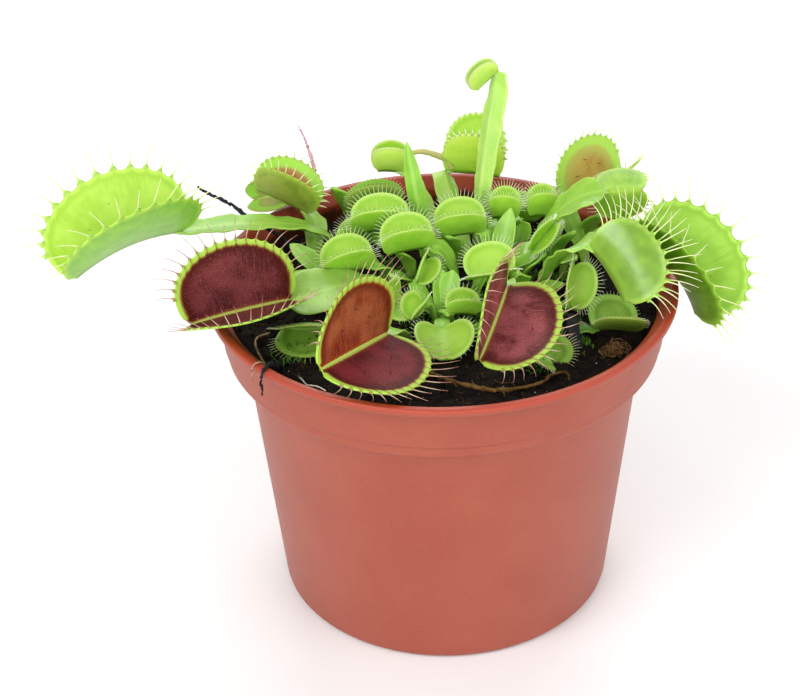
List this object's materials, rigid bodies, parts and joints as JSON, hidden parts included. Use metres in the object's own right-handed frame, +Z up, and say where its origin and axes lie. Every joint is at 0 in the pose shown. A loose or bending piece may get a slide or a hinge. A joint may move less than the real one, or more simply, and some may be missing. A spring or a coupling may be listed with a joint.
{
  "type": "potted venus flytrap",
  "caption": "A clump of Venus flytrap leaves with toothed traps, green, amber and maroon, growing in dark peat in a terracotta-coloured plastic nursery pot.",
  "frame": {"origin": "the centre of the flat underside of the pot", "axes": "Z runs up the pot's axis, X runs to the east side of the clump, where a closed green trap hangs, and Y runs to the north side, behind the tall strap-shaped leaf"},
  "size_m": [0.1412, 0.094, 0.0995],
  "materials": {
    "pot_plastic": "terracotta-coloured moulded polypropylene, faint grain, soft sheen",
    "peat": "moist dark peat with fibres and small lumps",
    "leaf_lime": "living yellow-green leaf, soft satin",
    "leaf_green": "living mid-green leaf, soft satin",
    "leaf_deep_green": "living dark green leaf, soft satin",
    "leaf_red": "maroon trap lobes with a green margin, glossy inside",
    "leaf_amber": "amber-tinged trap lobes with a green margin",
    "dead_tissue": "blackened, dried leaf tissue",
    "root_bark": "brown, dry root with fine grain",
    "dry_moss": "brown dried moss fibres"
  },
  "bodies": {
    "root": {"west_pale_leaf": "leaf_lime", "west_red_leaf": "leaf_red", "front_left_red_leaf": "leaf_red", "front_right_red_leaf": "leaf_red", "east_closed_leaf": "leaf_lime", "east_pale_leaf": "leaf_lime", "northeast_amber_leaf": "leaf_amber", "northeast_lime_leaf": "leaf_lime", "northwest_leaf": "leaf_green", "northwest_low_leaf": "leaf_amber", "strap_leaf": "leaf_lime", "back_pale_leaf": "leaf_lime", "back_bud_leaf": "leaf_lime", "back_grey_leaf": "leaf_deep_green", "rear_leaf_left": "leaf_green", "rear_leaf_right": "leaf_green", "young_leaf_1": "leaf_lime", "young_leaf_2": "leaf_lime", "young_leaf_3": "leaf_lime", "young_leaf_4": "leaf_lime", "young_leaf_5": "leaf_lime", "young_leaf_6": "leaf_lime", "young_leaf_7": "leaf_lime", "young_leaf_8": "leaf_lime", "young_leaf_9": "leaf_lime", "soil_leaf_east": "leaf_deep_green", "soil_leaf_south": "leaf_deep_green", "soil_leaf_west": "leaf_deep_green", "west_blade": "leaf_green", "north_blade": "leaf_green", "middle_blade": "leaf_green", "east_blade": "leaf_green", "pot": "pot_plastic", "soil": "peat", "centre_rosette": "leaf_lime", "dead_stalk": "dead_tissue", "dead_trap": "dead_tissue", "surface_root": "root_bark", "moss_tangle": "dry_moss", "middle_blade_low": "leaf_green", "middle_blade_left": "leaf_green", "east_blade_low": "leaf_green", "east_blade_back": "leaf_green", "west_blade_low": "leaf_green", "west_blade_back": "leaf_green", "south_blade": "leaf_green"}
  },
  "joints": []
}
